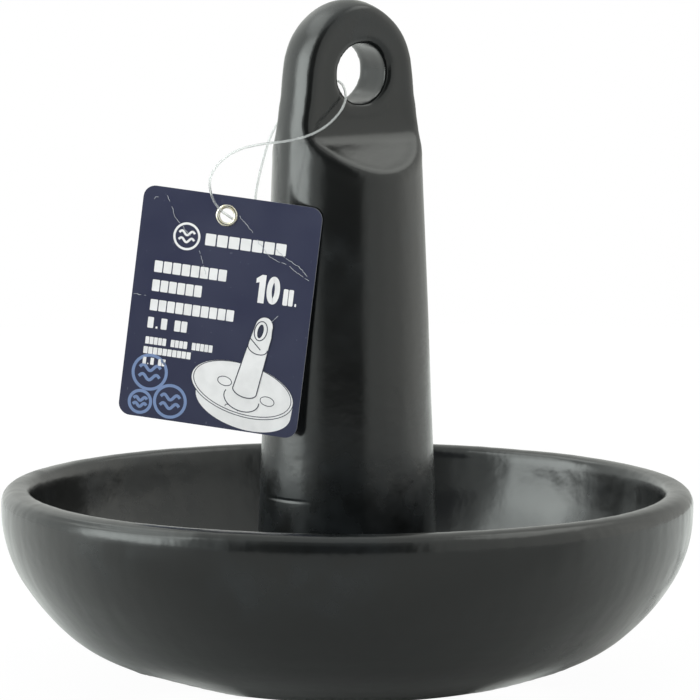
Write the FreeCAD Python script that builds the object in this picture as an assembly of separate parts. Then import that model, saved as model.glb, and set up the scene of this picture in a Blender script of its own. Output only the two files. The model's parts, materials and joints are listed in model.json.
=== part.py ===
import FreeCAD, Part
import math
import os
from FreeCAD import Vector

# A 10 lb (4.5 kg) mushroom anchor: one iron casting, dipped in vinyl, with its retail tag
# on a clear filament loop.  Millimetres, +Z up, origin at the centre of the dish's underside.
# The bore through the eye runs along Y.

# ---- driving dimensions -------------------------------------------------------------------
# The skin and the dish's wall are assumed: they were chosen together to bring iron and vinyl
# to about 10 lb.
COAT = 2.4                      # vinyl skin over the iron

RIM_RADIUS = 114.3              # 9 in across the rim
DISH_WALL = 7.1                 # iron and both skins, across the floor
LIP_THICKNESS = 9.6
LIP_RISE = 2.0                  # how far the outside stands straight up below the lip's round
LIP_OUTER_ROUND = 4.8
LIP_INNER_ROUND = 2.9
WALL_SLOPE = 82.0               # the inner wall leans out, which leaves the mould its draft
KNUCKLE_RADIUS = 60.0           # where the inner wall runs down into the flank
KNUCKLE_SLOPE = 58.0            # the slope where the flank begins
# The dish's outside, from the centre out: (arc radius, slope where the arc ends, degrees).
DISH_ARCS = [(124.0, 24.3), (49.0, 41.0), (74.0, 58.0), (44.0, 90.0)]
FLOOR_ARCS = 2                  # the inside keeps DISH_WALL from the first arcs of the outside

SHANK_FOOT_RADIUS = 31.1
SHANK_FOOT_HEIGHT = 11.0
SHANK_TOP_RADIUS = 24.3
SHANK_TOP_HEIGHT = 184.0
# The eye's outline above the shank, as (radius, height), ending at the crown.
EYE_PROFILE = [(22.7, 196.0), (21.4, 206.9), (18.5, 214.8), (13.6, 220.8), (7.1, 225.2)]
TOTAL_HEIGHT = 226.7

BOSS_FOOT_RADIUS = 38.5
BOSS_TOP_HEIGHT = 27.0
BOSS_FOOT_FILLET = 3.5
BOSS_TOP_FILLET = 8.0

EYE_HALF_THICKNESS = 8.7        # flat faces at Y = -8.7 and +8.7
EYE_HOLE_RADIUS = 10.0
EYE_HOLE_X = 0.5                # the core sits a little off the shank's axis
EYE_HOLE_HEIGHT = 202.8
SHOULDER_HEIGHT = 183.3         # where a flat face starts to slope out to the round shank
SHOULDER_SLOPE = 37.4           # degrees below the horizontal
SHOULDER_HOLLOW = 9.0           # radius in the corner between flat face and slope
EYE_EDGE_FILLET = 2.4
EYE_HOLE_FILLET = 1.4

DRAIN_COUNT = 3
DRAIN_RADIUS = 15.5
DRAIN_PITCH_RADIUS = 60.0
DRAIN_FIRST_ANGLE = 180.0
DRAIN_EDGE_FILLET = 1.5

CARD_WIDTH = 60.5
CARD_HEIGHT = 76.0
CARD_THICKNESS = 0.4
CARD_CORNER = 4.0
CARD_LEFT_OF_EYELET = 28.6
CARD_ABOVE_EYELET = 6.5
CARD_FACES = -48.0              # the way the card faces, degrees about Z from -Y
CARD_LEAN = 2.3                 # it leans back along the shank's taper, degrees
CARD_SWUNG = 6.5                # it hangs a little askew, degrees
EYELET_AT = Vector(-42.3, 8.1, 157.3)

EYELET_HOLE_RADIUS = 2.35
EYELET_BARREL_RADIUS = 2.7
EYELET_RIM_RADIUS = 3.7
EYELET_RIM_HEIGHT = 0.6

FILAMENT_DIAMETER = 0.8
# The filament's route: out of the lock, up behind the card to the eye, over the wall of the
# eye's hole, down in front to the eyelet, through it and back into the lock.
FILAMENT_ROUTE = [
    Vector(-31.6, 8.3, 149.4),
    Vector(-29.9, 10.2, 155.2),
    Vector(-28.3, 12.3, 161.9),
    Vector(-26.4, 12.9, 168.6),
    Vector(-24.6, 12.4, 175.4),
    Vector(-22.6, 11.6, 182.3),
    Vector(-18.0, 11.6, 188.6),
    Vector(-11.2, 11.8, 193.4),
    Vector(-6.6, 8.2, 198.2),
    Vector(-4.6, 3.2, 200.4),
    Vector(-5.0, -3.0, 200.2),
    Vector(-6.2, -7.8, 197.9),
    Vector(-8.5, -11.4, 193.9),
    Vector(-13.2, -11.9, 188.8),
    Vector(-19.9, -11.1, 184.6),
    Vector(-28.9, -9.8, 182.4),
    Vector(-37.9, -6.0, 181.7),
    Vector(-45.6, -2.0, 179.8),
    Vector(-50.8, 2.0, 174.8),
    Vector(-52.2, 4.6, 168.6),
    Vector(-46.6, 8.2, 160.1),
    Vector(-38.8, 8.9, 155.5),
    Vector(-34.6, 9.0, 153.0),
    Vector(-33.0, 7.7, 149.4),
]
LOCK_LENGTH = 6.0
LOCK_WIDTH = 4.4
LOCK_DEPTH = 2.6
LOCK_ROUND = 0.9
LOCK_GRIP = 0.7                 # how far each filament end reaches into the lock

ARC_SHARE = 0.45                # of the shorter run, taken by the arc at a corner

CUT_BEYOND = 20.0               # how far a cutter reaches past what it cuts
ON_EDGE = 0.1                   # an edge's midpoint is this near the place it is looked for
NEAR_EDGE = 1.5                 # or this near, where two faces meet at an unworked place
IRON_DENSITY = 7.2e-6           # kg per cubic mm
VINYL_DENSITY = 1.1e-6


# ---- outlines -----------------------------------------------------------------------------
def polar(centre, radius, degrees):
    """A point on the dish's section, at this slope on an arc about centre."""
    turn = math.radians(degrees)
    return Vector(centre.x + radius * math.sin(turn), 0, centre.z - radius * math.cos(turn))


def dish_arcs():
    """The dish's outside as (centre, radius, first slope, last slope), each arc tangent to the last."""
    arcs = []
    start = Vector(0, 0, 0)
    slope = 0.0
    for radius, end in DISH_ARCS:
        centre = start - polar(Vector(0, 0, 0), radius, slope)
        arcs.append((centre, radius, slope, end))
        start = polar(centre, radius, end)
        slope = end
    flat = Vector(RIM_RADIUS - start.x, 0, 0)
    return [(centre + flat, radius, low, high) for centre, radius, low, high in arcs]


def arc_chain(arcs, change):
    """Edges of the arcs with their radii changed by this much."""
    edges = []
    for centre, radius, low, high in arcs:
        size = radius + change
        ends = [polar(centre, size, at) for at in (low, (low + high) / 2, high)]
        edges.append(Part.Arc(*ends).toShape())
    return edges


def revolved(edges):
    """A solid of revolution about Z from a closed outline in the XZ plane."""
    face = Part.Face(Part.Wire(edges))
    return face.revolve(Vector(0, 0, 0), Vector(0, 0, 1), 360)


def line(start, end):
    return Part.LineSegment(start, end).toShape()


# ---- the casting and its coating ------------------------------------------------------------
def lip_rounds():
    """The centres of the rounds on the lip's outer and inner edge."""
    top = dish_arcs()[-1][0].z + LIP_RISE + LIP_OUTER_ROUND
    outer = Vector(RIM_RADIUS - LIP_OUTER_ROUND, 0, top - LIP_OUTER_ROUND)
    inner = Vector(RIM_RADIUS - LIP_THICKNESS + LIP_INNER_ROUND, 0, top - LIP_INNER_ROUND)
    return outer, inner


def inside_arcs():
    """The dish's inside in the same form as dish_arcs: its floor, flank and knuckle.

    The flank's radius is the one that brings the knuckle tangent to the inner wall.
    """
    origin = Vector(0, 0, 0)
    floor = [(centre, radius - DISH_WALL, low, high)
             for centre, radius, low, high in dish_arcs()[:FLOOR_ARCS]]
    centre, radius, low, slope = floor[-1]
    start = polar(centre, radius, slope)
    wall_top = polar(lip_rounds()[1], -LIP_INNER_ROUND, WALL_SLOPE)
    into_bowl = polar(origin, -1.0, WALL_SLOPE)
    flank_step = polar(origin, 1.0, KNUCKLE_SLOPE) - polar(origin, 1.0, slope)
    knuckle_step = (polar(origin, KNUCKLE_RADIUS, WALL_SLOPE)
                    - polar(origin, KNUCKLE_RADIUS, KNUCKLE_SLOPE))
    flank_radius = (wall_top - start - knuckle_step).dot(into_bowl) / flank_step.dot(into_bowl)
    flank = start - polar(origin, flank_radius, slope)
    knuckle = polar(flank, flank_radius - KNUCKLE_RADIUS, KNUCKLE_SLOPE)
    return floor + [(flank, flank_radius, slope, KNUCKLE_SLOPE),
                    (knuckle, KNUCKLE_RADIUS, KNUCKLE_SLOPE, WALL_SLOPE)]


def chain_end(arcs, change, last=True):
    """Where a chain of arcs ends, or starts, with its radii changed by this much."""
    centre, radius, low, high = arcs[-1] if last else arcs[0]
    return polar(centre, radius + change, high if last else low)


def dish(inset):
    """The bowl and its thick lip, drawn this far inside the finished surface."""
    outer, inner = lip_rounds()
    outside = dish_arcs()
    outer_round = [(outer, LIP_OUTER_ROUND, 90.0, 180.0)]
    inner_round = [(inner, LIP_INNER_ROUND, 180.0, 180.0 + WALL_SLOPE)]
    inside = inside_arcs()
    bottom = chain_end(outside, -inset, last=False)
    floor = chain_end(inside, inset, last=False)
    edges = [
        line(Vector(0, 0, bottom.z), bottom),
        line(chain_end(outside, -inset), chain_end(outer_round, -inset, last=False)),
        line(chain_end(outer_round, -inset), chain_end(inner_round, -inset, last=False)),
        line(chain_end(inner_round, -inset), chain_end(inside, inset)),
        line(floor, Vector(0, 0, floor.z)),
        line(Vector(0, 0, floor.z), Vector(0, 0, bottom.z)),
    ]
    edges += arc_chain(outside + outer_round + inner_round, -inset) + arc_chain(inside, inset)
    return revolved(Part.__sortEdges__(edges))


def taper_radius(height):
    share = (height - SHANK_FOOT_HEIGHT) / (SHANK_TOP_HEIGHT - SHANK_FOOT_HEIGHT)
    return SHANK_FOOT_RADIUS + share * (SHANK_TOP_RADIUS - SHANK_FOOT_RADIUS)


def eye_curve():
    """The eye's outline as a smooth curve from the shank's top to the crown."""
    start = Vector(SHANK_TOP_RADIUS, 0, SHANK_TOP_HEIGHT)
    crown = Vector(0, 0, TOTAL_HEIGHT)
    points = [start] + [Vector(r, 0, z) for r, z in EYE_PROFILE] + [crown]
    taper = Vector(SHANK_TOP_RADIUS - SHANK_FOOT_RADIUS, 0, SHANK_TOP_HEIGHT - SHANK_FOOT_HEIGHT)
    curve = Part.BSplineCurve()
    curve.interpolate(Points=points, InitialTangent=taper.normalize(), FinalTangent=Vector(-1, 0, 0))
    return curve


def inset_curve(curve, inset, count=9):
    """The same curve, moved this far towards the axis and down along its normal."""
    points = []
    for i in range(count):
        at = curve.FirstParameter + (curve.LastParameter - curve.FirstParameter) * i / (count - 1)
        along = curve.tangent(at)[0]
        points.append(curve.value(at) + Vector(-along.z, 0, along.x) * inset)
    points[-1].x = 0
    moved = Part.BSplineCurve()
    moved.interpolate(Points=points, FinalTangent=Vector(-1, 0, 0))
    return moved


def shank(inset):
    """The tapered round shank with its domed top and the conical boss at its foot."""
    curve = eye_curve()
    if inset:
        curve = inset_curve(curve, inset)
    top = curve.value(curve.FirstParameter)
    foot = Vector(taper_radius(DISH_WALL / 2) - inset, 0, DISH_WALL / 2)
    root = Vector(0, 0, foot.z)
    body = revolved([
        line(root, foot),
        line(foot, top),
        curve.toShape(),
        line(Vector(0, 0, TOTAL_HEIGHT - inset), root),
    ])
    boss = Part.makeCone(BOSS_FOOT_RADIUS - inset, taper_radius(BOSS_TOP_HEIGHT) - inset,
                         BOSS_TOP_HEIGHT - root.z, root)
    return body.fuse(boss)


def eye_face_cutter(inset):
    """What the flat front face and its sloping shoulder take off the round shank."""
    face = -EYE_HALF_THICKNESS + inset
    drop = math.tan(math.radians(SHOULDER_SLOPE))
    shift = inset / math.cos(math.radians(SHOULDER_SLOPE)) - inset * drop
    far = face - 2 * CUT_BEYOND
    half_width = SHANK_FOOT_RADIUS + CUT_BEYOND
    corner = Vector(-half_width, face, SHOULDER_HEIGHT - shift)
    low = Vector(-half_width, far, corner.z + drop * (far - face))
    above = Vector(-half_width, far, TOTAL_HEIGHT + CUT_BEYOND)
    top = Vector(-half_width, face, TOTAL_HEIGHT + CUT_BEYOND)
    hollow = SHOULDER_HOLLOW + inset
    turn = math.radians(90.0 - SHOULDER_SLOPE)
    reach = hollow * math.tan(turn / 2)
    down = (low - corner).normalize()
    on_face = corner + Vector(0, 0, reach)
    on_slope = corner + down * reach
    centre = on_face - Vector(0, hollow, 0)
    middle = centre + (corner - centre).normalize() * hollow
    outline = [
        line(top, on_face),
        Part.Arc(on_face, middle, on_slope).toShape(),
        line(on_slope, low),
        line(low, above),
        line(above, top),
    ]
    return Part.Face(Part.Wire(outline)).extrude(Vector(2 * half_width, 0, 0))


def eye_hole(inset):
    start = Vector(EYE_HOLE_X, -EYE_HALF_THICKNESS - CUT_BEYOND, EYE_HOLE_HEIGHT)
    length = 2 * (EYE_HALF_THICKNESS + CUT_BEYOND)
    return Part.makeCylinder(EYE_HOLE_RADIUS + inset, length, start, Vector(0, 1, 0))


def drain_holes(inset):
    holes = []
    for i in range(DRAIN_COUNT):
        angle = math.radians(DRAIN_FIRST_ANGLE + 360.0 * i / DRAIN_COUNT)
        at = Vector(DRAIN_PITCH_RADIUS * math.cos(angle), DRAIN_PITCH_RADIUS * math.sin(angle), 0)
        base = at - Vector(0, 0, CUT_BEYOND)
        holes.append(Part.makeCylinder(DRAIN_RADIUS + inset, 3 * CUT_BEYOND, base))
    return holes


def anchor_form(inset):
    """The whole anchor's form, drawn this far inside its finished surface, unrounded."""
    front = eye_face_cutter(inset)
    back = front.rotated(Vector(0, 0, 0), Vector(0, 0, 1), 180)
    form = dish(inset).fuse(shank(inset)).removeSplitter()
    return form.cut([front, back, eye_hole(inset)] + drain_holes(inset))


def edges_where(shape, test):
    """The edges whose midpoint passes the test."""
    found = []
    for edge in shape.Edges:
        middle = edge.valueAt((edge.FirstParameter + edge.LastParameter) / 2)
        if test(middle, edge):
            found.append(edge)
    return found


def near_ring(radius, height):
    """A test for level rings about the Z axis near this radius and height."""
    return lambda p, edge: (abs(math.hypot(p.x, p.y) - radius) < NEAR_EDGE
                            and abs(p.z - height) < NEAR_EDGE and edge.BoundBox.ZLength < ON_EDGE)


def eye_hole_edges(p, edge):
    """The two rims of the bore through the eye."""
    off_axis = math.hypot(p.x - EYE_HOLE_X, p.z - EYE_HOLE_HEIGHT)
    return abs(off_axis - EYE_HOLE_RADIUS) < ON_EDGE and abs(p.y) > EYE_HALF_THICKNESS - ON_EDGE


def drain_edges(p, edge):
    """The rims of the drain holes, above and below."""
    if edge.Length < 4 * DRAIN_RADIUS:
        return False
    centres = [hole.BoundBox.Center for hole in drain_holes(0.0)]
    return any(abs(math.hypot(p.x - c.x, p.y - c.y) - DRAIN_RADIUS) < ON_EDGE for c in centres)


def eye_outline_edges(p, edge):
    """Edges where a flat face or its shoulder meets the round of the shank."""
    off_axis = math.hypot(p.x - EYE_HOLE_X, p.z - EYE_HOLE_HEIGHT)
    if off_axis < EYE_HOLE_RADIUS + EYE_HOLE_FILLET + ON_EDGE:
        return False
    if abs(p.y) < EYE_HALF_THICKNESS - ON_EDGE:
        return False
    if p.z < SHANK_TOP_HEIGHT:
        on_round = abs(math.hypot(p.x, p.y) - taper_radius(p.z)) < 2 * ON_EDGE
        return on_round and p.z > SHOULDER_HEIGHT - SHANK_TOP_RADIUS
    return True


def finished_form():
    """The anchor's outer surface, with the soft edges that a thick dip leaves."""
    soft_edges = [
        (BOSS_FOOT_FILLET, near_ring(BOSS_FOOT_RADIUS - BOSS_FOOT_FILLET / 2, DISH_WALL)),
        (BOSS_TOP_FILLET, near_ring(taper_radius(BOSS_TOP_HEIGHT), BOSS_TOP_HEIGHT)),
        (DRAIN_EDGE_FILLET, drain_edges),
        (EYE_HOLE_FILLET, eye_hole_edges),
        (EYE_EDGE_FILLET, eye_outline_edges),
    ]
    form = anchor_form(0.0).Solids[0]
    for radius, test in soft_edges:
        form = form.makeFillet(radius, edges_where(form, test))
    return form


# ---- the tag and its loop -------------------------------------------------------------------
def card_frame():
    """The card's own axes: across, up and out of its printed face, before it hangs askew."""
    faces = math.radians(CARD_FACES)
    lean = math.radians(CARD_LEAN)
    across = Vector(math.cos(faces), math.sin(faces), 0)
    out = Vector(math.sin(faces) * math.cos(lean), -math.cos(faces) * math.cos(lean), math.sin(lean))
    return across, out.cross(across), out


def frame_matrix(x_axis, y_axis, z_axis, origin):
    """The placement that carries a shape's own axes and origin to these."""
    return FreeCAD.Matrix(
        x_axis.x, y_axis.x, z_axis.x, origin.x,
        x_axis.y, y_axis.y, z_axis.y, origin.y,
        x_axis.z, y_axis.z, z_axis.z, origin.z,
        0, 0, 0, 1)


def placed_on_card(shape):
    """Moves a shape drawn about the eyelet (X across, Y up, Z out) to where the card hangs."""
    across, up, out = card_frame()
    turned = shape.rotated(Vector(0, 0, 0), Vector(0, 0, 1), -CARD_SWUNG)
    return turned.transformed(frame_matrix(across, up, out, EYELET_AT))


def tag_card():
    left = -CARD_LEFT_OF_EYELET
    low = CARD_ABOVE_EYELET - CARD_HEIGHT
    base = Vector(left, low, -CARD_THICKNESS / 2)
    card = Part.makeBox(CARD_WIDTH, CARD_HEIGHT, CARD_THICKNESS, base)
    upright = edges_where(card, lambda p, edge: edge.BoundBox.ZLength > CARD_THICKNESS / 2)
    card = card.makeFillet(CARD_CORNER, upright)
    hole = Part.makeCylinder(EYELET_BARREL_RADIUS, 2 * CARD_THICKNESS, Vector(0, 0, -CARD_THICKNESS))
    return placed_on_card(card.cut(hole))


def tag_eyelet():
    """A barrel through the card with its rim rolled over on both faces."""
    barrel = Part.makeCylinder(EYELET_BARREL_RADIUS, CARD_THICKNESS,
                               Vector(0, 0, -CARD_THICKNESS / 2))
    middle = (EYELET_RIM_RADIUS + EYELET_HOLE_RADIUS) / 2
    half = (EYELET_RIM_RADIUS - EYELET_HOLE_RADIUS) / 2
    rims = []
    for side in (-1, 1):
        flat = side * CARD_THICKNESS / 2
        peak = Vector(middle, 0, flat + side * EYELET_RIM_HEIGHT)
        roll = Part.Arc(Vector(middle - half, 0, flat), peak, Vector(middle + half, 0, flat))
        rims.append(revolved([roll.toShape(), line(Vector(middle + half, 0, flat),
                                                   Vector(middle - half, 0, flat))]))
    reach = CARD_THICKNESS + EYELET_RIM_HEIGHT
    hole = Part.makeCylinder(EYELET_HOLE_RADIUS, 2 * reach, Vector(0, 0, -reach))
    eyelet = barrel.fuse(rims).cut(hole).removeSplitter()
    return placed_on_card(eyelet)


def corner_arc(before, corner, after):
    """The radius of the arc at a corner, and how far along each run it starts."""
    back = before - corner
    forth = after - corner
    shorter = min(back.Length, forth.Length)
    half_turn = (math.pi - back.getAngle(forth)) / 2
    reach = ARC_SHARE * shorter
    return reach / math.tan(half_turn), reach


def filament_path(points):
    """Straight runs joined by tangent arcs, and the radii of those arcs."""
    edges = []
    radii = []
    start = points[0]
    for before, corner, after in zip(points, points[1:], points[2:]):
        radius, reach = corner_arc(before, corner, after)
        back = (before - corner).normalize()
        forth = (after - corner).normalize()
        arc_start = corner + back * reach
        arc_end = corner + forth * reach
        inward = (back + forth).normalize()
        centre = corner + inward * math.hypot(radius, reach)
        middle = centre - inward * radius
        edges.append(line(start, arc_start))
        edges.append(Part.Arc(arc_start, middle, arc_end).toShape())
        radii.append(radius)
        start = arc_end
    edges.append(line(start, points[-1]))
    return Part.Wire(edges), radii


def tag_loop():
    first = FILAMENT_ROUTE[0]
    last = FILAMENT_ROUTE[-1]
    head = first + (first - FILAMENT_ROUTE[1]).normalize() * LOCK_GRIP
    tail = last + (last - FILAMENT_ROUTE[-2]).normalize() * LOCK_GRIP
    path, radii = filament_path([head] + FILAMENT_ROUTE[1:-1] + [tail])
    along = (FILAMENT_ROUTE[1] - head).normalize()
    section = Part.Wire(Part.makeCircle(FILAMENT_DIAMETER / 2, head, along))
    tube = path.makePipeShell([section], True, False)
    expected = math.pi * FILAMENT_DIAMETER ** 2 / 4 * path.Length
    print("filament radii", [round(r, 1) for r in radii])
    print("filament length %.1f, volume %.2f against %.2f" % (path.Length, tube.Volume, expected))
    return tube


def loop_lock():
    """A small plastic socket that holds both ends of the filament side by side."""
    first = FILAMENT_ROUTE[0]
    last = FILAMENT_ROUTE[-1]
    mouth = (first + last) * 0.5
    down = (first - FILAMENT_ROUTE[1] + last - FILAMENT_ROUTE[-2]).normalize()
    spread = first - last
    side = (spread - down * spread.dot(down)).normalize()
    depth = down.cross(side)
    box = Part.makeBox(LOCK_WIDTH, LOCK_DEPTH, LOCK_LENGTH,
                       Vector(-LOCK_WIDTH / 2, -LOCK_DEPTH / 2, 0))
    below_mouth = edges_where(box, lambda p, edge: p.z > ON_EDGE)
    box = box.makeFillet(LOCK_ROUND, below_mouth)
    return box.transformed(frame_matrix(side, depth, down, mouth))


# ---- output ---------------------------------------------------------------------------------
def write(name, shape):
    solids = shape.Solids
    valid = shape.isValid()
    print("%-14s solids %d valid %s volume %.1f" % (name, len(solids), valid, shape.Volume))
    shape.exportStep(os.path.join("parts", name + ".step"))


def main():
    os.makedirs("parts", exist_ok=True)
    iron = anchor_form(COAT)
    coating = finished_form().cut(iron)
    write("iron_casting", iron)
    write("vinyl_coating", coating)
    write("tag_card", tag_card())
    write("tag_eyelet", tag_eyelet())
    write("tag_loop", tag_loop())
    write("loop_lock", loop_lock())
    mass = iron.Volume * IRON_DENSITY + coating.Volume * VINYL_DENSITY
    print("casting and coating %.2f kg" % mass)


main()
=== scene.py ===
import math

import bmesh
import bpy
import numpy as np
from mathutils import Matrix, Vector, noise
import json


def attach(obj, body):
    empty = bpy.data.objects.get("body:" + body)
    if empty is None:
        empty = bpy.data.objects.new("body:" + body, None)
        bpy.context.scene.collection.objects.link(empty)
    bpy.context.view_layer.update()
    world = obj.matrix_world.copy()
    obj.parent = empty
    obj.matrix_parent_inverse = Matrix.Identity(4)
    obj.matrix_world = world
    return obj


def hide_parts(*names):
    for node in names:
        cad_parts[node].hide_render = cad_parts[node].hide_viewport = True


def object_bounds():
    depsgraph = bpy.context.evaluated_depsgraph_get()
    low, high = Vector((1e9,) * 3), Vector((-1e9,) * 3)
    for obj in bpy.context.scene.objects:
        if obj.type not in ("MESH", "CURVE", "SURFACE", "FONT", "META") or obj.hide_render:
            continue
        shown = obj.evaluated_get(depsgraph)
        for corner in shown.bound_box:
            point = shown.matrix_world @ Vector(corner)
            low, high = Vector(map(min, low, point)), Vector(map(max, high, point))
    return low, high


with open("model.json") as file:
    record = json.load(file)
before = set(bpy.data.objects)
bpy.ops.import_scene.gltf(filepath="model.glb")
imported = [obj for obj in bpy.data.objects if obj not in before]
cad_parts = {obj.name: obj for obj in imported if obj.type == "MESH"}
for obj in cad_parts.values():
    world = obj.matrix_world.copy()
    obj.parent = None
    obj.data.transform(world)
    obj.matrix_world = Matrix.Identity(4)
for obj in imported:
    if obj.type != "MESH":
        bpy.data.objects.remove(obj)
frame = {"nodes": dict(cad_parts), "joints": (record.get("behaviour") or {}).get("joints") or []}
cad_low, cad_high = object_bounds()

MM = 0.001

# ---- driving values (metres and degrees unless a name says otherwise) -----------------------
CAMERA_AZIMUTH = -35.0
CAMERA_ELEVATION = 7.0
CAMERA_DISTANCE = 2.475
CAMERA_LENS_MM = 386.0
CAMERA_AIM_SHARE = 0.489            # how far up the anchor the camera aims
CAMERA_AIM_RIGHT = 0.9 * MM

FILAMENT_DIAMETER = 0.8 * MM
# The filament's route, as in the CAD source, in metres.
FILAMENT_ROUTE = [
    (-0.0316, 0.0083, 0.1494),
    (-0.0299, 0.0102, 0.1552),
    (-0.0283, 0.0123, 0.1619),
    (-0.0264, 0.0129, 0.1686),
    (-0.0246, 0.0124, 0.1754),
    (-0.0226, 0.0116, 0.1823),
    (-0.0180, 0.0116, 0.1886),
    (-0.0112, 0.0118, 0.1934),
    (-0.0066, 0.0082, 0.1982),
    (-0.0046, 0.0032, 0.2004),
    (-0.0050, -0.0030, 0.2002),
    (-0.0062, -0.0078, 0.1979),
    (-0.0085, -0.0114, 0.1939),
    (-0.0132, -0.0119, 0.1888),
    (-0.0199, -0.0111, 0.1846),
    (-0.0289, -0.0098, 0.1824),
    (-0.0379, -0.0060, 0.1817),
    (-0.0456, -0.0020, 0.1798),
    (-0.0508, 0.0020, 0.1748),
    (-0.0522, 0.0046, 0.1686),
    (-0.0466, 0.0082, 0.1601),
    (-0.0388, 0.0089, 0.1555),
    (-0.0346, 0.0090, 0.1530),
    (-0.0330, 0.0077, 0.1494),
]

SKIN_VOXEL = 1.1 * MM
FAIR_ROUNDS = 60                    # smoothing rounds that clear the remesh's steps
SKIN_WAVES = [(45 * MM, 0.14 * MM), (17 * MM, 0.045 * MM)]  # the dip's waviness: length, height
FLAT_BELOW = 6.0 * MM               # the marks fade out here, so that the underside stays flat
RUN_WIDTH = 6.0 * MM                # runs down the dish's wall, where the wet vinyl sagged
RUN_LENGTH = 40.0 * MM
RUN_HEIGHT = 0.06 * MM
RIM_RADIUS = 114.3 * MM
RIM_TILT = 0.35 * MM                # one side of the rim stands this much high
RIM_WOBBLE = 0.15 * MM
HIGH_SIDE = -125.0                  # degrees
SCUFF_TOP = 100.0 * MM              # the shank is rubbed below this
SCUFF_REACH = 36.0 * MM
DRIP_AZIMUTH = math.radians(-80.0)  # the middle of a line where a run of vinyl stopped
DRIP_HALF_ANGLE = math.radians(24.0)
DRIP_HEIGHT = 63.8 * MM
DRIP_HALF_WIDTH = 0.9 * MM
DRIP_DEPTH = 0.2 * MM

# The card, in millimetres from the eyelet's centre: x to the right, y up, z out of its face.
CARD_LEFT = -28.6
CARD_TOP = 6.5
CARD_WIDTH = 60.5
CARD_HEIGHT = 76.0
CARD_THICKNESS = 0.4
CARD_CORNER = 4.0
CARD_HOLE = 2.7
CARD_SWUNG = 6.5                    # it hangs askew by this much, degrees
CARD_CURL = 0.5                     # how far its edges curl, over half its width
CARD_GRAIN = 1.6                    # longest edge in the card's mesh
INK_LIFT = 0.02                     # each layer of print lies this far above the last

WALL_LEVEL = 1.05                   # the studio's pale surroundings
CEILING_LEVEL = 1.0
SOFT_LEVEL = 1.3                    # their evened-out level, as it falls on matt surfaces
# Parts of the studio that are lighter or darker than its walls:
# (azimuths, elevations, softness of each edge pair, level), in degrees.
STUDIO_PANELS = [
    ((20.0, 50.0), (-30.0, 40.0), (10.0, 10.0), 1.2),
    ((50.0, 84.0), (-30.0, 36.0), (8.0, 10.0), 1.4),
    ((106.0, 152.0), (-30.0, 45.0), (12.0, 10.0), 0.72),    # the dim corner behind, at the right
    ((160.0, 185.0), (-30.0, 62.0), (8.0, 8.0), 1.3),
    ((-185.0, -138.0), (-30.0, 36.0), (8.0, 10.0), 1.3),    # the lit wall behind
    ((-74.0, -10.0), (-30.0, 60.0), (8.0, 6.0), 0.1),       # the unlit side, behind the camera
    ((-74.0, -10.0), (36.0, 60.0), (8.0, 6.0), 0.3),        # it is a little lighter above
    ((-134.0, -96.0), (-8.0, 50.0), (6.0, 8.0), 4.6),       # a tall light at the left
    ((-132.0, -97.0), (-6.0, 22.0), (4.0, 6.0), 6.4),       # its bright middle
    ((-185.0, -120.0), (38.0, 62.0), (7.0, 6.0), 2.8),      # a bank of lights overhead, behind
    ((30.0, 108.0), (44.0, 68.0), (10.0, 6.0), 2.5),        # a light overhead, at the right
    ((-185.0, 185.0), (72.0, 95.0), (4.0, 4.0), CEILING_LEVEL),
]
LEFT_TINT = (0.93, 1.0, 0.975)      # daylight from the left, lamplight from the right
RIGHT_TINT = (0.985, 1.0, 0.945)
UNLIT_SIDE = -38.0                  # the azimuth that the light doesn't come from
FLOOR_PAINTED_SHADE = 0.50                    # painted shade: the floor's base colour towards the unlit side, darker where less light falls
FLOOR_LIT = 0.88                    # and its base colour at the sides and behind, where the light falls
FLOOR_RADIUS = 1.0
FLOOR_SIDES = 96
FLOOR_SHADE_FADE = 0.16                   # metres from the axis over which the painted shade comes in
FLOOR_GLOW = 0.97                   # how far the camera sees it as plain white


# ---- helpers --------------------------------------------------------------------------------
def direction(azimuth, elevation):
    """Unit vector away from the anchor; azimuth 0 is -Y and 90 is +X, in degrees."""
    a, e = math.radians(azimuth), math.radians(elevation)
    return Vector((math.sin(a) * math.cos(e), -math.cos(a) * math.cos(e), math.sin(e)))


def link(obj):
    bpy.context.scene.collection.objects.link(obj)
    return obj


def mesh_object(name, verts, faces):
    mesh = bpy.data.meshes.new(name)
    mesh.from_pydata([tuple(v) for v in verts], [], faces)
    mesh.validate()
    mesh.update()
    return link(bpy.data.objects.new(name, mesh))


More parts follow.
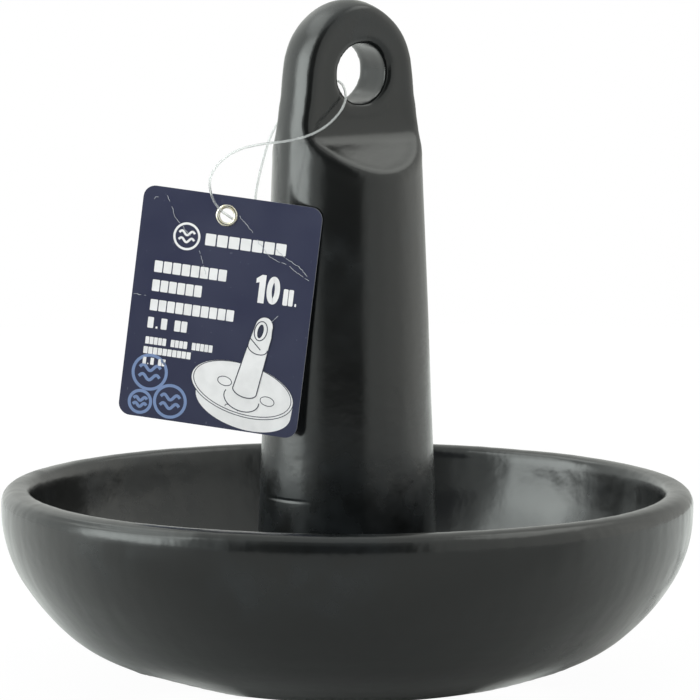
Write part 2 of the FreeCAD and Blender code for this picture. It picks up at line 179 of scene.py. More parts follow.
class Nodes:
    """Short calls for building one node tree."""

    def __init__(self, tree):
        self.tree = tree
        tree.nodes.clear()

    def new(self, kind, **settings):
        node = self.tree.nodes.new(kind)
        for key, value in settings.items():
            setattr(node, key, value)
        return node

    def join(self, source, target):
        self.tree.links.new(source, target)

    def feed(self, socket, value):
        """Links a socket in, or sets a plain value."""
        if isinstance(value, bpy.types.NodeSocket):
            self.join(value, socket)
        elif hasattr(value, "__len__") and len(value) == 3 and socket.type == "RGBA":
            socket.default_value = (*value, 1.0)
        else:
            socket.default_value = value

    def math(self, operation, a, b=0.0, c=0.0, clamp=False):
        node = self.new("ShaderNodeMath", operation=operation, use_clamp=clamp)
        for socket, value in zip(node.inputs, (a, b, c)):
            self.feed(socket, value)
        return node.outputs[0]

    def split(self, vector):
        node = self.new("ShaderNodeSeparateXYZ")
        self.feed(node.inputs[0], vector)
        return node.outputs

    def noise(self, vector, scale, detail=2.0, roughness=0.5, distortion=0.0):
        node = self.new("ShaderNodeTexNoise")
        self.feed(node.inputs["Vector"], vector)
        node.inputs["Scale"].default_value = scale
        node.inputs["Detail"].default_value = detail
        node.inputs["Roughness"].default_value = roughness
        node.inputs["Distortion"].default_value = distortion
        return node.outputs["Fac"]

    def ramp(self, factor, stops, smooth=False):
        node = self.new("ShaderNodeValToRGB")
        if smooth:
            node.color_ramp.interpolation = "EASE"
        elements = node.color_ramp.elements
        while len(elements) > 1:
            elements.remove(elements[-1])
        for i, (at, colour) in enumerate(stops):
            element = elements[0] if i == 0 else elements.new(at)
            element.position = at
            if not hasattr(colour, "__len__"):
                colour = (colour,) * 3
            element.color = (*colour, 1.0)
        self.feed(node.inputs["Fac"], factor)
        return node.outputs["Color"]

    def map_range(self, value, low, high, out_low, out_high, smooth=False):
        node = self.new("ShaderNodeMapRange")
        if smooth:
            node.interpolation_type = "SMOOTHSTEP"
        for name, number in (("Value", value), ("From Min", low), ("From Max", high),
                             ("To Min", out_low), ("To Max", out_high)):
            self.feed(node.inputs[name], number)
        return node.outputs["Result"]

    def mix_colour(self, factor, a, b):
        node = self.new("ShaderNodeMix", data_type="RGBA")
        self.feed(node.inputs["Factor"], factor)
        self.feed(node.inputs["A"], a)
        self.feed(node.inputs["B"], b)
        return node.outputs["Result"]

    def mix_number(self, factor, a, b):
        node = self.new("ShaderNodeMix", data_type="FLOAT")
        for name, value in (("Factor", factor), ("A", a), ("B", b)):
            self.feed(node.inputs[name], value)
        return node.outputs["Result"]

    def bump(self, height, distance, strength=1.0, normal=None):
        node = self.new("ShaderNodeBump")
        node.inputs["Strength"].default_value = strength
        node.inputs["Distance"].default_value = distance
        self.feed(node.inputs["Height"], height)
        if normal is not None:
            self.feed(node.inputs["Normal"], normal)
        return node.outputs["Normal"]


def material(name):
    """A new material with an empty tree, and its Principled shader already joined up."""
    made = bpy.data.materials.new(name)
    made.use_nodes = True
    nodes = Nodes(made.node_tree)
    shader = nodes.new("ShaderNodeBsdfPrincipled")
    output = nodes.new("ShaderNodeOutputMaterial")
    nodes.join(shader.outputs[0], output.inputs["Surface"])
    return made, nodes, shader


def set_material(obj, made):
    obj.data.materials.clear()
    obj.data.materials.append(made)


# ---- camera ---------------------------------------------------------------------------------
def make_camera():
    data = bpy.data.cameras.new("camera")
    data.lens = CAMERA_LENS_MM
    data.clip_start = 0.05
    data.clip_end = 100.0
    camera = link(bpy.data.objects.new("camera", data))
    back = direction(CAMERA_AZIMUTH, CAMERA_ELEVATION)
    right = direction(CAMERA_AZIMUTH + 90.0, 0.0)
    aim = Vector((0, 0, CAMERA_AIM_SHARE * cad_high.z)) + right * CAMERA_AIM_RIGHT
    camera.location = aim + back * CAMERA_DISTANCE
    camera.rotation_mode = "QUATERNION"
    camera.rotation_quaternion = (-back).to_track_quat("-Z", "Y")
    bpy.context.scene.camera = camera


# ---- the filament ---------------------------------------------------------------------------
def make_filament():
    curve = bpy.data.curves.new("tag_filament", "CURVE")
    curve.dimensions = "3D"
    curve.bevel_depth = 1.0             # each point's own radius makes this the filament's
    curve.bevel_resolution = 4
    curve.use_fill_caps = True
    spline = curve.splines.new("NURBS")
    spline.points.add(len(FILAMENT_ROUTE) - 1)
    for point, at in zip(spline.points, FILAMENT_ROUTE):
        point.co = (*at, 1.0)
        point.radius = FILAMENT_DIAMETER / 2
    spline.order_u = 3
    spline.use_endpoint_u = True
    spline.resolution_u = 16
    filament = link(bpy.data.objects.new("tag_filament", curve))
    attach(filament, "loop")
    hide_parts("tag_loop")
    return filament


# ---- the vinyl skin -------------------------------------------------------------------------
def outer_surface(node):
    """The outermost closed surface of a hollow CAD node, as a bmesh."""
    work = bmesh.new()
    work.from_mesh(node.data)
    bmesh.ops.remove_doubles(work, verts=work.verts, dist=1e-6)
    left = set(work.verts)
    parts = []
    while left:
        seed = left.pop()
        part = {seed}
        front = [seed]
        while front:
            near = [e.other_vert(v) for v in front for e in v.link_edges]
            front = [v for v in set(near) if v not in part]
            part.update(front)
        left -= part
        parts.append(part)
    outer = max(parts, key=lambda part: max(v.co.z for v in part) - min(v.co.z for v in part))
    inner = [v for v in work.verts if v not in outer]
    bmesh.ops.delete(work, geom=inner, context="VERTS")
    return work


def apply_modifiers(obj):
    """Bakes an object's modifiers into its mesh."""
    graph = bpy.context.evaluated_depsgraph_get()
    mesh = bpy.data.meshes.new_from_object(obj.evaluated_get(graph))
    obj.modifiers.clear()
    old = obj.data
    obj.data = mesh
    bpy.data.meshes.remove(old)


def read_points(mesh):
    points = np.zeros(len(mesh.vertices) * 3, np.float32)
    mesh.vertices.foreach_get("co", points)
    return points.reshape(-1, 3).astype(float)


def write_points(mesh, points):
    mesh.vertices.foreach_set("co", points.astype(np.float32).ravel())
    mesh.update()


def read_normals(mesh):
    normals = np.zeros(len(mesh.vertices) * 3, np.float32)
    mesh.vertices.foreach_get("normal", normals)
    return normals.reshape(-1, 3).astype(float)


def fair(mesh, rounds, shrink=0.5, grow=-0.53):
    """Takes small facets out of a mesh and keeps its volume (Taubin smoothing)."""
    ends = np.zeros(len(mesh.edges) * 2, np.int32)
    mesh.edges.foreach_get("vertices", ends)
    a, b = ends.reshape(-1, 2).T
    points = read_points(mesh)
    count = np.bincount(a, minlength=len(points)) + np.bincount(b, minlength=len(points))
    for _ in range(rounds):
        for weight in (shrink, grow):
            total = np.zeros_like(points)
            for axis in range(3):
                total[:, axis] = (np.bincount(a, points[b, axis], len(points))
                                  + np.bincount(b, points[a, axis], len(points)))
            points += weight * (total / count[:, None] - points)
    write_points(mesh, points)


def smooth_step(value, low, high):
    share = min(1.0, max(0.0, (value - low) / (high - low)))
    return share * share * (3.0 - 2.0 * share)


def near_wall(point):
    """0 inside the dish, 1 at its outer wall and rim."""
    return smooth_step(math.hypot(point.x, point.y), 0.80 * RIM_RADIUS, 0.93 * RIM_RADIUS)


def dip_marks(point):
    """How far the dipped skin stands out at a point: its waviness, and runs on the dish's wall."""
    out = sum(noise.noise(point / length) * height for length, height in SKIN_WAVES)
    place = Vector((point.x / RUN_WIDTH, point.y / RUN_WIDTH, point.z / RUN_LENGTH))
    out += noise.noise(place) * RUN_HEIGHT * near_wall(point)
    return out * smooth_step(point.z, 0.0, FLAT_BELOW)


def rim_rise(point):
    """How far the uneven rim is raised at a point near it."""
    level = Vector((point.x, point.y, 0.0)) / RIM_RADIUS
    rise = RIM_TILT * level.dot(direction(HIGH_SIDE, 0.0)) + RIM_WOBBLE * noise.noise(level * 2.2)
    return rise * near_wall(point)


def weather(mesh):
    """Moves the skin's points by the marks of its dipping."""
    points = read_points(mesh)
    normals = read_normals(mesh)
    for i, at in enumerate(points):
        point = Vector(at)
        points[i] += normals[i] * dip_marks(point)
        points[i][2] += rim_rise(point)
    write_points(mesh, points)


def make_skin():
    """The coating's outer surface, remeshed, smoothed and given the marks of its dipping."""
    work = outer_surface(frame["nodes"]["vinyl_coating"])
    mesh = bpy.data.meshes.new("vinyl_skin")
    work.to_mesh(mesh)
    work.free()
    skin = link(bpy.data.objects.new("vinyl_skin", mesh))
    remesh = skin.modifiers.new("remesh", "REMESH")
    remesh.mode = "VOXEL"
    remesh.voxel_size = SKIN_VOXEL
    apply_modifiers(skin)
    fair(skin.data, FAIR_ROUNDS)
    weather(skin.data)
    skin.data.shade_smooth()
    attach(skin, "anchor")
    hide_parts("vinyl_coating")
    return skin


# ---- the tag's card and its print -----------------------------------------------------------
def tag_axes():
    """The card's axes across, up and out, as the tag hangs, and the eyelet's place."""
    swing = next(joint for joint in frame["joints"] if joint["name"] == "tag_swing")
    out = Vector(swing["axis"]).normalized()
    across = Vector((-out.y, out.x, 0.0)).normalized()
    up = out.cross(across)
    turn = Matrix.Rotation(-math.radians(CARD_SWUNG), 3, out)
    return turn @ across, turn @ up, out, Vector(swing["pos_m"])


def card_lift(x, y):
    """How far the curled card stands out of its plane, in millimetres."""
    half = CARD_WIDTH / 2
    from_middle = (x - CARD_LEFT - half) / half
    down = (CARD_TOP - y) / CARD_HEIGHT
    wave = 0.12 * math.sin(0.13 * x + 0.5) * math.sin(0.09 * y)
    return CARD_CURL * (from_middle ** 2 * down + 0.5 * down ** 2) + wave * down


def ellipse(x, y, a, b, tilt=0.0, start=0.0, end=360.0, steps=48):
    """Points round an ellipse whose long axis is turned by tilt degrees."""
    turn = math.radians(tilt)
    points = []
    count = steps if end - start >= 360.0 else steps + 1
    for i in range(count):
        at = math.radians(start + (end - start) * i / steps)
        u, v = a * math.cos(at), b * math.sin(at)
        points.append((x + u * math.cos(turn) - v * math.sin(turn),
                       y + u * math.sin(turn) + v * math.cos(turn)))
    return points


def rounded_box(left, low, width, height, corner, steps=5):
    points = []
    for x, y, first in ((left + width - corner, low + corner, -90.0),
                        (left + width - corner, low + height - corner, 0.0),
                        (left + corner, low + height - corner, 90.0),
                        (left + corner, low + corner, 180.0)):
        points += ellipse(x, y, corner, corner, 0.0, first, first + 90.0, steps)
    return points


def ribbon(points, width, closed=False):
    """A thin stroke along the points, as a list of four-sided pieces."""
    count = len(points)
    sides = []
    for i, (x, y) in enumerate(points):
        before = points[i - 1] if (i or closed) else points[i]
        after = points[(i + 1) % count] if (i < count - 1 or closed) else points[i]
        along = Vector((after[0] - before[0], after[1] - before[1])).normalized()
        off = Vector((-along.y, along.x)) * width / 2
        sides.append(((x + off.x, y + off.y), (x - off.x, y - off.y)))
    last = count if closed else count - 1
    return [(sides[i][0], sides[i][1], sides[(i + 1) % count][1], sides[(i + 1) % count][0])
            for i in range(last)]


def refine(work, longest):
    """Splits edges until none is longer than this."""
    for _ in range(6):
        split = [edge for edge in work.edges if edge.calc_length() > longest]
        if not split:
            break
        bmesh.ops.subdivide_edges(work, edges=split, cuts=1)
        bmesh.ops.triangulate(work, faces=[face for face in work.faces if len(face.verts) > 3])


def onto_card(work, layer):
    """Moves a flat drawing onto the front of the hanging card."""
    across, up, out, eyelet = tag_axes()
    height = CARD_THICKNESS / 2 + layer * INK_LIFT
    for vert in work.verts:
        x, y, z = vert.co
        lift = card_lift(x, y) + height + z
        vert.co = eyelet + (across * x + up * y + out * lift) * MM


def print_piece(name, shapes, layer, made):
    """One ink of the print: flat shapes, each given by the points round it."""
    work = bmesh.new()
    for shape in shapes:
        work.faces.new([work.verts.new((x, y, 0.0)) for x, y in shape])
    bmesh.ops.recalc_face_normals(work, faces=work.faces)
    for face in work.faces:
        if face.normal.z < 0:
            face.normal_flip()
    bmesh.ops.triangulate(work, faces=work.faces[:])
    refine(work, CARD_GRAIN)
    onto_card(work, layer)
    mesh = bpy.data.meshes.new(name)
    work.to_mesh(mesh)
    work.free()
    piece = link(bpy.data.objects.new(name, mesh))
    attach(piece, "tag")
    set_material(piece, made)
    return piece


def make_card(face_material, core_material):
    work = bmesh.new()
    outline = rounded_box(CARD_LEFT, CARD_TOP - CARD_HEIGHT, CARD_WIDTH, CARD_HEIGHT, CARD_CORNER, 8)
    for loop in (outline, ellipse(0.0, 0.0, CARD_HOLE, CARD_HOLE, steps=32)):
        ring = [work.verts.new((x, y, 0.0)) for x, y in loop]
        for a, b in zip(ring, ring[1:] + ring[:1]):
            work.edges.new((a, b))
    bmesh.ops.triangle_fill(work, use_beauty=True, edges=work.edges[:], normal=(0, 0, 1))
    refine(work, CARD_GRAIN)
    for vert in work.verts:
        vert.co.z = -CARD_THICKNESS / 2
    onto_card(work, 0)
    mesh = bpy.data.meshes.new("printed_card")
    work.to_mesh(mesh)
    work.free()
    card = link(bpy.data.objects.new("printed_card", mesh))
    card.data.materials.append(face_material)
    card.data.materials.append(core_material)
    thick = card.modifiers.new("thickness", "SOLIDIFY")
    thick.thickness = CARD_THICKNESS * MM
    thick.offset = 0.0
    thick.material_offset_rim = 1
    apply_modifiers(card)
    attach(card, "tag")
    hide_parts("tag_card")
    return card


def block_line(left, low, right, height, letters):
    """A line of greeked print: a plain block for each letter, with gaps where words end."""
    pitch = (right - left) / len(letters)
    shapes = []
    for i, letter in enumerate(letters):
        if letter == "#":
            shapes.append(rounded_box(left + pitch * i + 0.06 * pitch, low, 0.88 * pitch, height,
                                      0.07 * height, 2))
        elif letter == ".":
            shapes.append(rounded_box(left + pitch * i + 0.3 * pitch, low, 0.3 * pitch,
                                      0.2 * height, 0.05 * height, 2))
    return shapes


def wave(x, y, width, height, turns=1.5, steps=24):
    return [(x + width * (i / steps - 0.5),
             y + height * math.sin(math.tau * turns * i / steps)) for i in range(steps + 1)]


def wave_ring(x, y, radius, stroke):
    """A plain emblem: a ring round two waves."""
    shapes = ribbon(ellipse(x, y, radius, radius), stroke, closed=True)
    for drop in (0.25, -0.3):
        shapes += ribbon(wave(x, y + drop * radius, 1.25 * radius, 0.16 * radius), stroke)
    return shapes


def print_words():
    """Every block of the print that stands for lettering, and the plain weight figure."""
    shapes = wave_ring(-12.5, -8.6, 4.2, 0.75)
    shapes += block_line(-6.4, -10.6, 21.4, 3.9, "#######")
    for left, base, right, height, letters in (
            (-22.3, -21.6, 2.5, 3.8, "########"), (-22.3, -27.9, -5.2, 3.8, "######"),
            (-22.2, -34.3, 6.5, 3.7, "##########"), (-22.3, -40.1, -8.7, 3.6, "#.# ##"),
            (-22.3, -45.4, 0.6, 2.4, "##### #### #####"), (-22.6, -48.6, -6.4, 2.3, "##########"),
            (-22.4, -52.1, -14.6, 2.3, "#.# ##"), (21.9, -26.6, 27.4, 5.4, "##.")):
        shapes += block_line(left, base, right, height, letters)
    figure_low, figure_height = -26.9, 9.3
    top = figure_low + figure_height
    shapes.append([(13.6, figure_low), (15.7, figure_low), (15.7, top), (14.3, top),
                   (12.5, top - 1.4), (12.5, top - 2.9), (13.6, top - 2.5)])
    middle = (18.5, figure_low + figure_height / 2)
    shapes += ribbon(ellipse(*middle, 1.35, 3.7), 1.75, closed=True)
    return shapes


# The drawing of the anchor, in the card's millimetres.
DRAWN_DISH = (12.1, -55.9, 17.8, 8.6, -10.0)        # the rim's ellipse: x, y, half axes, tilt
DRAWN_LINE = 0.32
DRAWN_DEPTH = 4.7                                   # how far the bowl hangs below its rim
DRAWN_HOLES = [(5.9, -53.9), (20.9, -58.6)]
DRAWN_EYE = (15.9, -36.1, 1.0, 2.3, -8.0)
DRAWN_FOOT = (12.2, -59.0, 6.1, 3.9, -14.0)         # the boss under the shank, in the same form


def drawn_bowl():
    x, y, a, b, tilt = DRAWN_DISH
    return ellipse(x + 0.9, y - DRAWN_DEPTH, a * 0.93, b * 0.94, tilt, 180.0, 360.0)


def drawn_shank():
    """The shank's outline, from its foot round the eye and back."""
    crown = ellipse(16.9, -34.6, 3.05, 3.4, -12.0, 0.0, 180.0, 20)
    return [(17.0, -57.2), (19.4, -41.0), (19.9, -38.0)] + crown + [(12.4, -40.0), (8.9, -55.6)]


def drawn_body():
    """The bowl's outline below its rim."""
    x, y, a, b, tilt = DRAWN_DISH
    return [(x - a * 0.985, y + 2.4)] + drawn_bowl() + [(x + a * 0.985, y - 3.2)]


def anchor_lines():
    """The fine outlines of the drawn dish."""
    x, y, a, b, tilt = DRAWN_DISH
    fine = 0.8 * DRAWN_LINE
    shapes = ribbon(ellipse(x, y, a, b, tilt), fine, closed=True)
    shapes += ribbon(ellipse(x, y + 0.25, a * 0.955, b * 0.94, tilt), fine, closed=True)
    for hole in DRAWN_HOLES:
        shapes += ribbon(ellipse(*hole, 2.4, 1.45, -10.0), fine, closed=True)
    shapes += ribbon(ellipse(9.2, -62.5, 2.3, 0.9, -20.0, 10.0, 200.0), fine)
    return shapes


def shank_lines():
    fine = DRAWN_LINE
    shapes = ribbon(drawn_shank(), fine)
    shapes += ribbon(ellipse(12.95, -56.2, 4.15, 2.1, -12.0, 180.0, 360.0), fine)
    shapes += ribbon(ellipse(16.0, -36.0, 2.1, 3.2, -8.0), fine, closed=True)
    shapes += ribbon(ellipse(15.6, -41.6, 3.4, 2.1, -14.0, 170.0, 370.0), fine)
    shapes += ribbon([(12.6, -38.6), (16.6, -42.2)], fine)
    return shapes


def ring_pattern():
    """The pale pattern in the card's lower corner: rings and waves."""
    shapes = []
    for x, y, size in ((-19.5, -54.6, 5.6), (-21.6, -64.6, 3.6), (-11.6, -63.2, 5.2)):
        shapes += wave_ring(x, y, size, 1.0)
    return shapes


# Cracks in the card's varnish, as points from end to end.
CARD_CREASES = [
    [(-20.6, 3.8), (-18.6, 0.6), (-17.2, -2.8), (-14.4, -5.4), (-11.0, -8.6)],
    [(-7.6, -12.6), (-5.8, -17.2), (-4.6, -20.6)],
    [(4.2, 0.4), (7.4, -2.4), (10.2, -5.2), (12.0, -7.6), (16.2, -11.6), (19.0, -12.6),
     (22.4, -13.2), (25.6, -15.4), (30.6, -17.6)],
    [(17.6, -8.6), (21.0, -11.0), (26.2, -13.4), (30.8, -17.4)],
    [(-30.0, -30.0), (-27.0, -29.6), (-23.4, -29.8)],
    [(-24.6, 0.2), (-25.2, 1.6), (-24.4, 2.9), (-22.9, 3.0)],
    [(21.2, -30.2), (18.6, -33.2)],
]


def crease_strokes():
    """Fine broken strokes along the creases, of uneven width and a little ragged."""
    shapes = []
    for crease in CARD_CREASES:
        fine = []
        for (x0, y0), (x1, y1) in zip(crease, crease[1:]):
            steps = max(2, int(math.hypot(x1 - x0, y1 - y0) / 0.5))
            for i in range(steps):
                share = i / steps
                x, y = x0 + (x1 - x0) * share, y0 + (y1 - y0) * share
                stray = noise.noise(Vector((x * 1.3, y * 1.3, 0.0))) * 0.35
                fine.append((x + stray, y + stray * 0.6))
        for i, (a, b) in enumerate(zip(fine, fine[1:])):
            x, y = a
            strong = 0.5 + noise.noise(Vector((x * 0.7, y * 0.7, 5.0)))
            inside = CARD_LEFT + 0.1 < min(x, b[0]) and max(x, b[0]) < CARD_LEFT + CARD_WIDTH - 0.1
            if strong > 0.25 and inside:
                shapes += ribbon([a, b], 0.09 + 0.1 * strong)
    return shapes


def make_tag():
    card = make_card(card_material(), core_material())
    white = ink_material("print_white", (0.78, 0.755, 0.775), 0.04)
    navy = ink_material("print_navy", (0.016, 0.018, 0.045), 0.0)
    blue = ink_material("print_blue", (0.165, 0.235, 0.43), 0.03)
    worn = ink_material("print_worn", (0.42, 0.43, 0.47), 0.0)
    print_piece("print_pattern", ring_pattern(), 1, blue)
    print_piece("print_words", print_words(), 1, white)
    drawing = [
        ("print_bowl", [drawn_body()], white),
        ("print_dish", [ellipse(*DRAWN_DISH)], white),
        ("print_dish_lines", anchor_lines(), navy),
        ("print_foot", [ellipse(*DRAWN_FOOT)], white),
        ("print_foot_lines", ribbon(ellipse(*DRAWN_FOOT, 165.0, 372.0), DRAWN_LINE), navy),
        ("print_shank", [drawn_shank()], white),
        ("print_eye", [ellipse(*DRAWN_EYE)], navy),
        ("print_shank_lines", shank_lines(), navy),
    ]
    for layer, (name, shapes, ink) in enumerate(drawing, 1):
        print_piece(name, shapes, layer, ink)
    print_piece("card_creases", crease_strokes(), len(drawing) + 1, worn)
    return card


# ---- materials ------------------------------------------------------------------------------
def drip_line(nodes, where):
    """A shallow line on the rim's outer shoulder, where a run of vinyl stopped; 1 along it."""
    x, y, z = nodes.split(where)
    azimuth = nodes.math("ARCTAN2", x, nodes.math("MULTIPLY", y, -1.0))
    line = 1.0
    for value, middle, half in ((azimuth, DRIP_AZIMUTH, DRIP_HALF_ANGLE),
                                (z, DRIP_HEIGHT, DRIP_HALF_WIDTH)):
        away = nodes.math("ABSOLUTE", nodes.math("SUBTRACT", value, middle))
        line = nodes.math("MULTIPLY", line, nodes.map_range(away, 0.0, half, 1.0, 0.0, smooth=True))
    return line


def scuffed_foot(nodes, where):
    """1 on the lower part of the shank, where the vinyl is rubbed and mottled."""
    x, y, z = nodes.split(where)
    square = nodes.math("ADD", nodes.math("MULTIPLY", x, x), nodes.math("MULTIPLY", y, y))
    from_axis = nodes.math("SQRT", square)
    on_shank = nodes.map_range(from_axis, SCUFF_REACH, SCUFF_REACH + 6 * MM, 1.0, 0.0, smooth=True)
    below = nodes.map_range(z, SCUFF_TOP - 30 * MM, SCUFF_TOP, 1.0, 0.0, smooth=True)
    return nodes.math("MULTIPLY", on_shank, below)


def vinyl_material():
    """Black dipped vinyl: orange peel, cloudy bloom, mottled scuffs and fine scratches."""
    made, nodes, shader = material("dipped_vinyl")
    where = object_place(nodes)
    clouds = nodes.noise(where, 28.0, detail=3.0)
    fine = nodes.noise(where, 900.0, detail=2.0)
    peel = nodes.noise(where, 170.0, detail=2.0)
    mottle = nodes.noise(where, 95.0, detail=3.0, roughness=0.5)
    stretched = nodes.new("ShaderNodeMapping")
    nodes.join(where, stretched.inputs["Vector"])
    stretched.inputs["Scale"].default_value = (1.0, 1.0, 0.22)
    scratches = nodes.noise(stretched.outputs["Vector"], 420.0, detail=3.0, distortion=0.6)
    scuffed = nodes.ramp(nodes.noise(where, 16.0, detail=4.0), [(0.5, 0.0), (0.68, 1.0)], smooth=True)
    scuffed = nodes.math("MAXIMUM", scuffed, scuffed_foot(nodes, where))
    dust = nodes.math("MULTIPLY", scuffed, nodes.map_range(mottle, 0.3, 0.7, 0.0, 1.0))
    base = nodes.ramp(clouds, [(0.35, (0.0034, 0.0037, 0.0038)), (0.7, (0.0052, 0.0055, 0.0054))])
    nodes.feed(shader.inputs["Base Color"], nodes.mix_colour(dust, base, (0.0085, 0.0105, 0.0125)))
    smudged = nodes.map_range(clouds, 0.3, 0.7, 0.15, 0.22)
    nodes.feed(shader.inputs["Roughness"],
               nodes.math("ADD", smudged, nodes.math("MULTIPLY", dust, 0.18)))
    height = nodes.math("ADD", peel, nodes.math("MULTIPLY", fine, 0.08))
    height = nodes.math("ADD", height, nodes.math("MULTIPLY", scuffed,
                                                  nodes.math("MULTIPLY", scratches, 0.45)))
    drip = nodes.bump(nodes.math("MULTIPLY", drip_line(nodes, where), -1.0), DRIP_DEPTH)
    nodes.feed(shader.inputs["Normal"], nodes.bump(height, 0.08 * MM, normal=drip))
    shader.inputs["IOR"].default_value = 1.5
    return made


def object_place(nodes):
    return nodes.new("ShaderNodeTexCoord").outputs["Object"]


def card_material():
    """Varnished navy card with a faint mottle and tiny flecks."""
    made, nodes, shader = material("varnished_card")
    where = object_place(nodes)
    mottle = nodes.noise(where, 60.0, detail=4.0)
    grain = nodes.noise(where, 1500.0, detail=3.0)
    flecks = nodes.ramp(nodes.noise(where, 700.0, detail=1.0), [(0.76, 0.0), (0.79, 1.0)])
    base = nodes.ramp(mottle, [(0.3, (0.0190, 0.0215, 0.0560)), (0.72, (0.0235, 0.0265, 0.0650))])
    nodes.feed(shader.inputs["Base Color"], nodes.mix_colour(nodes.math("MULTIPLY", flecks, 0.25),
                                                             base, (0.2, 0.21, 0.27)))
    nodes.feed(shader.inputs["Roughness"], nodes.map_range(mottle, 0.3, 0.7, 0.30, 0.42))
    nodes.feed(shader.inputs["Normal"], nodes.bump(grain, 0.006 * MM))
    shader.inputs["Coat Weight"].default_value = 0.25
    shader.inputs["Coat Roughness"].default_value = 0.18
    return made


def core_material():
    """The card's cut edge: pale fibre."""
    made, nodes, shader = material("card_core")
    fibre = nodes.noise(object_place(nodes), 2500.0, detail=3.0)
    nodes.feed(shader.inputs["Base Color"],
               nodes.ramp(fibre, [(0.3, (0.30, 0.31, 0.35)), (0.7, (0.52, 0.53, 0.56))]))
    nodes.feed(shader.inputs["Normal"], nodes.bump(fibre, 0.02 * MM))
    shader.inputs["Roughness"].default_value = 0.85
    return made


def ink_material(name, colour, uneven):
    """Matt print whose ink is a little uneven."""
    made, nodes, shader = material(name)
    where = object_place(nodes)
    cloud = nodes.noise(where, 220.0, detail=3.0)
    dots = nodes.noise(where, 2600.0, detail=1.0)
    thin = tuple(c * (1.0 - uneven) * 0.94 for c in colour)
    nodes.feed(shader.inputs["Base Color"], nodes.ramp(cloud, [(0.3, thin), (0.65, colour)]))
    nodes.feed(shader.inputs["Roughness"], nodes.map_range(dots, 0.3, 0.7, 0.42, 0.55))
    nodes.feed(shader.inputs["Normal"], nodes.bump(dots, 0.004 * MM))
    return made


def eyelet_material():
    """Plated brass: bright, warm where the plating is thin, with fine scratches."""
    made, nodes, shader = material("plated_eyelet")
    where = object_place(nodes)
    worn = nodes.noise(where, 700.0, detail=4.0)
    scratch = nodes.noise(where, 3000.0, detail=2.0, distortion=1.5)
    nodes.feed(shader.inputs["Base Color"],
               nodes.ramp(worn, [(0.4, (0.80, 0.77, 0.68)), (0.62, (0.68, 0.60, 0.42))]))
    nodes.feed(shader.inputs["Roughness"], nodes.map_range(worn, 0.3, 0.7, 0.2, 0.34))
    nodes.feed(shader.inputs["Normal"], nodes.bump(scratch, 0.01 * MM))
    shader.inputs["Metallic"].default_value = 1.0
    return made


def iron_material():
    """Grey cast iron with sand-mould grain, pits and a bloom of rust."""
    made, nodes, shader = material("cast_iron")
    where = object_place(nodes)
    grain = nodes.noise(where, 600.0, detail=6.0, roughness=0.7)
    lumps = nodes.noise(where, 90.0, detail=3.0)
    rust = nodes.ramp(nodes.noise(where, 35.0, detail=6.0, roughness=0.65), [(0.52, 0.0), (0.68, 1.0)])
    grey = nodes.ramp(grain, [(0.3, (0.045, 0.045, 0.047)), (0.7, (0.115, 0.113, 0.112))])
    nodes.feed(shader.inputs["Base Color"], nodes.mix_colour(rust, grey, (0.13, 0.050, 0.022)))
    nodes.feed(shader.inputs["Roughness"], nodes.map_range(rust, 0.0, 1.0, 0.55, 0.85))
    nodes.feed(shader.inputs["Metallic"], nodes.map_range(rust, 0.0, 1.0, 0.8, 0.0))
    height = nodes.math("ADD", nodes.math("MULTIPLY", grain, 0.4), lumps)
    nodes.feed(shader.inputs["Normal"], nodes.bump(height, 0.3 * MM))
    return made


def filament_material():
    """Clear drawn nylon, with faint rings along it."""
    made, nodes, shader = material("clear_nylon")
    rings = nodes.noise(object_place(nodes), 900.0, detail=2.0)
    nodes.feed(shader.inputs["Roughness"], nodes.map_range(rings, 0.3, 0.7, 0.08, 0.2))
    nodes.feed(shader.inputs["Normal"], nodes.bump(rings, 0.01 * MM))
    shader.inputs["Base Color"].default_value = (0.93, 0.94, 0.95, 1.0)
    shader.inputs["Transmission Weight"].default_value = 0.75
    shader.inputs["IOR"].default_value = 1.5
    return made


def lock_material():
    """Translucent moulded plastic with flow marks."""
    made, nodes, shader = material("moulded_lock")
    where = object_place(nodes)
    flow = nodes.noise(where, 300.0, detail=3.0, distortion=0.8)
    nodes.feed(shader.inputs["Base Color"],
               nodes.ramp(flow, [(0.3, (0.74, 0.76, 0.78)), (0.7, (0.84, 0.86, 0.87))]))
    nodes.feed(shader.inputs["Roughness"], nodes.map_range(flow, 0.3, 0.7, 0.22, 0.38))
    nodes.feed(shader.inputs["Normal"], nodes.bump(flow, 0.03 * MM))
    shader.inputs["Transmission Weight"].default_value = 0.45
    return made


# ---- surroundings ---------------------------------------------------------------------------
def sky_panel(nodes, azimuth, elevation, azimuths, elevations, soft):
    """How far a direction lies within a soft-edged panel of the studio, from 0 to 1."""
    inside = 1.0
    for angle, (low, high), edge in ((azimuth, azimuths, soft[0]), (elevation, elevations, soft[1])):
        for limit, sign in ((low, 1), (high, -1)):
            a, b = math.radians(limit - edge * sign), math.radians(limit + edge * sign)
            step = nodes.map_range(angle, a, b, 0.0, 1.0, smooth=True)
            inside = nodes.math("MULTIPLY", inside, step)
    return inside


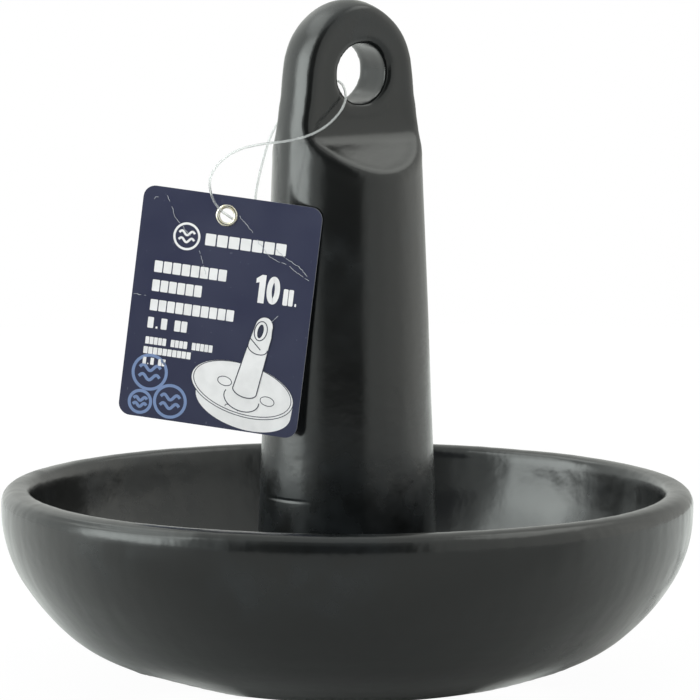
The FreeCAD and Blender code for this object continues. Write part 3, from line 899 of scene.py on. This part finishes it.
def make_world():
    """A pale studio with lighter and darker panels that glossy surfaces reflect.

    Matt surfaces receive one even level instead, and the camera sees plain white.
    """
    world = bpy.data.worlds.new("studio")
    bpy.context.scene.world = world
    world.use_nodes = True
    nodes = Nodes(world.node_tree)
    ray = nodes.new("ShaderNodeTexCoord").outputs["Generated"]
    x, y, z = nodes.split(ray)
    azimuth = nodes.math("ARCTAN2", x, nodes.math("MULTIPLY", y, -1.0))
    elevation = nodes.math("ARCSINE", z)
    level = WALL_LEVEL
    for azimuths, elevations, soft, panel_level in STUDIO_PANELS:
        inside = sky_panel(nodes, azimuth, elevation, azimuths, elevations, soft)
        step = nodes.math("MULTIPLY", nodes.math("SUBTRACT", panel_level, level), inside)
        level = nodes.math("ADD", level, step)
    path = nodes.new("ShaderNodeLightPath")
    for seen, plain_level in ((path.outputs["Is Diffuse Ray"], SOFT_LEVEL),
                              (path.outputs["Is Camera Ray"], 1.0)):
        level = nodes.mix_number(seen, level, plain_level)
    background = nodes.new("ShaderNodeBackground")
    nodes.join(level, background.inputs["Strength"])
    output = nodes.new("ShaderNodeOutputWorld")
    nodes.join(background.outputs[0], output.inputs["Surface"])
    side = nodes.map_range(x, -1.0, 1.0, 0.0, 1.0)
    tint = nodes.mix_colour(side, LEFT_TINT, RIGHT_TINT)
    white = (1.0, 1.0, 1.0)
    nodes.feed(background.inputs["Color"],
               nodes.mix_colour(path.outputs["Is Camera Ray"], tint, white))


def make_floor():
    """A plain floor, white to the camera, with painted shade: its base colour darkens towards the
    unlit side, where less light falls.
    """
    floor_edge = [(FLOOR_RADIUS * math.cos(math.tau * i / FLOOR_SIDES),
                   FLOOR_RADIUS * math.sin(math.tau * i / FLOOR_SIDES), 0) for i in range(FLOOR_SIDES)]
    floor = mesh_object("floor", floor_edge, [tuple(range(FLOOR_SIDES))])
    made, nodes, shader = material("floor_white_painted_shade")
    place = nodes.new("ShaderNodeNewGeometry").outputs["Position"]
    towards = nodes.new("ShaderNodeVectorMath", operation="DOT_PRODUCT")
    nodes.feed(towards.inputs[0], place)
    nodes.feed(towards.inputs[1], direction(UNLIT_SIDE, 0.0))
    # painted shade: the base colour runs from the lit tone at the sides and behind to a darker tone
    # towards the unlit side
    nodes.feed(shader.inputs["Base Color"],
               nodes.ramp(nodes.map_range(towards.outputs["Value"], 0.0, FLOOR_SHADE_FADE, 0.0, 1.0),
                          [(0.0, FLOOR_LIT), (1.0, FLOOR_PAINTED_SHADE)], smooth=True))
    shader.inputs["Roughness"].default_value = 0.9
    shader.inputs["Specular IOR Level"].default_value = 0.1
    glow = nodes.new("ShaderNodeEmission")
    mix = nodes.new("ShaderNodeMixShader")
    seen = nodes.new("ShaderNodeLightPath").outputs["Is Camera Ray"]
    nodes.join(nodes.math("MULTIPLY", seen, FLOOR_GLOW), mix.inputs[0])
    nodes.join(shader.outputs[0], mix.inputs[1])
    nodes.join(glow.outputs[0], mix.inputs[2])
    output = next(n for n in made.node_tree.nodes if n.type == "OUTPUT_MATERIAL")
    nodes.join(mix.outputs[0], output.inputs["Surface"])
    set_material(floor, made)


# ---- assembly -------------------------------------------------------------------------------
make_camera()
filament = make_filament()
skin = make_skin()
set_material(skin, vinyl_material())
make_tag()
set_material(filament, filament_material())
for node, made in (("iron_casting", iron_material()), ("tag_eyelet", eyelet_material()),
                   ("loop_lock", lock_material())):
    set_material(frame["nodes"][node], made)
make_world()
make_floor()
bpy.context.scene.view_settings.view_transform = "Standard"
